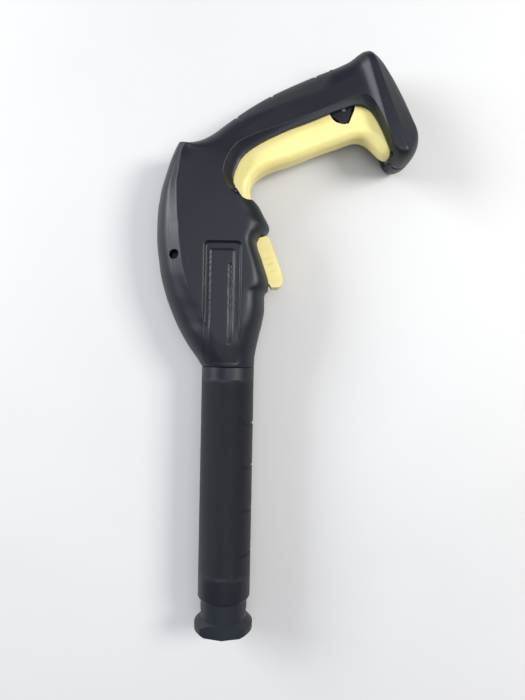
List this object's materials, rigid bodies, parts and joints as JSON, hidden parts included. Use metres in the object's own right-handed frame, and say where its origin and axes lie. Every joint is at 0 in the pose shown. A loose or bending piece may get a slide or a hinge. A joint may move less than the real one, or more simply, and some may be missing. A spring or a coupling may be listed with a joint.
{
  "type": "pressure washer trigger gun",
  "caption": "Pistol-grip spray gun with a long gripped barrel, bayonet lance socket, swinging trigger with lock tab, and a hose port with a release button.",
  "frame": {"origin": "centre of the lance socket's mouth, on the barrel axis", "axes": "+X along the barrel, out of the muzzle; +Y to the handle and trigger side; +Z across the gun, up when it lies on its right side"},
  "size_m": [0.4635, 0.2079, 0.051],
  "materials": {
    "black_housing": "moulded charcoal plastic, fine grain, satin",
    "black_grip": "moulded charcoal plastic with fine diamond texture",
    "black_socket": "moulded dark grey plastic, scuffed",
    "black_lock": "moulded charcoal plastic",
    "yellow": "moulded pale yellow plastic, satin gloss",
    "yellow_button": "moulded pale yellow plastic, satin gloss",
    "brass": "turned brass",
    "brass_poppet": "turned brass",
    "grey_bushing": "moulded glass-filled plastic",
    "steel": "stainless, turned or pressed",
    "spring_steel": "drawn spring wire",
    "rubber": "moulded nitrile rubber",
    "pipe_plastic": "extruded pressure pipe",
    "spacer_plastic": "moulded plastic"
  },
  "bodies": {
    "gun_body": {"housing_left": "black_housing", "housing_right": "black_housing", "barrel_sleeve": "black_grip", "lance_socket": "black_socket", "valve_body": "brass", "gland_nut": "brass", "inlet_bushing": "grey_bushing", "valve_seat": "steel", "stem_o_ring": "rubber", "hose_o_ring": "rubber", "socket_o_ring": "rubber", "pipe_o_rings": "rubber", "gland_washer": "steel", "outlet_pipe": "pipe_plastic", "pipe_spacers": "spacer_plastic", "pipe_clip": "steel", "trigger_pin": "steel", "button_pin": "steel", "housing_screws": "steel", "valve_spring": "spring_steel", "button_spring": "spring_steel", "trigger_spring": "spring_steel"},
    "trigger": {"trigger": "yellow", "lock_pin": "steel"},
    "trigger_lock": {"trigger_lock": "black_lock"},
    "valve_core": {"valve_poppet": "brass_poppet", "poppet_seal": "rubber", "valve_stem": "steel", "stem_collar": "brass"},
    "release_button": {"release_button": "yellow_button", "latch_hook": "steel"}
  },
  "joints": [
    {"name": "trigger_pull", "type": "hinge", "parent": "gun_body", "child": "trigger", "pos_m": [-0.356, -0.022, 0], "axis": [0, 0, 1], "range_deg": [0, 5.5], "stiffness_Nm_per_rad": 2, "springref_deg": -17.19, "deforming": ["trigger_spring"]},
    {"name": "valve_lift", "type": "slide", "parent": "gun_body", "child": "valve_core", "axis": [-1, 0, 0], "range_m": [0, 0.0025], "stiffness_N_per_m": 800, "springref_m": -0.004, "deforming": ["valve_spring"]},
    {"name": "lock_flip", "type": "hinge", "parent": "trigger", "child": "trigger_lock", "pos_m": [-0.4165, 0.088, 0], "axis": [0, 0, -1], "range_deg": [0, 25]},
    {"name": "button_press", "type": "hinge", "parent": "gun_body", "child": "release_button", "pos_m": [-0.308, 0.0155, 0], "axis": [0, 0, -1], "range_deg": [0, 5], "stiffness_Nm_per_rad": 1, "springref_deg": -5.73, "deforming": ["button_spring"]}
  ],
  "couplings": [
    {"joint": "valve_lift", "follows": "trigger_pull", "m_per_rad": 0.0255}
  ]
}
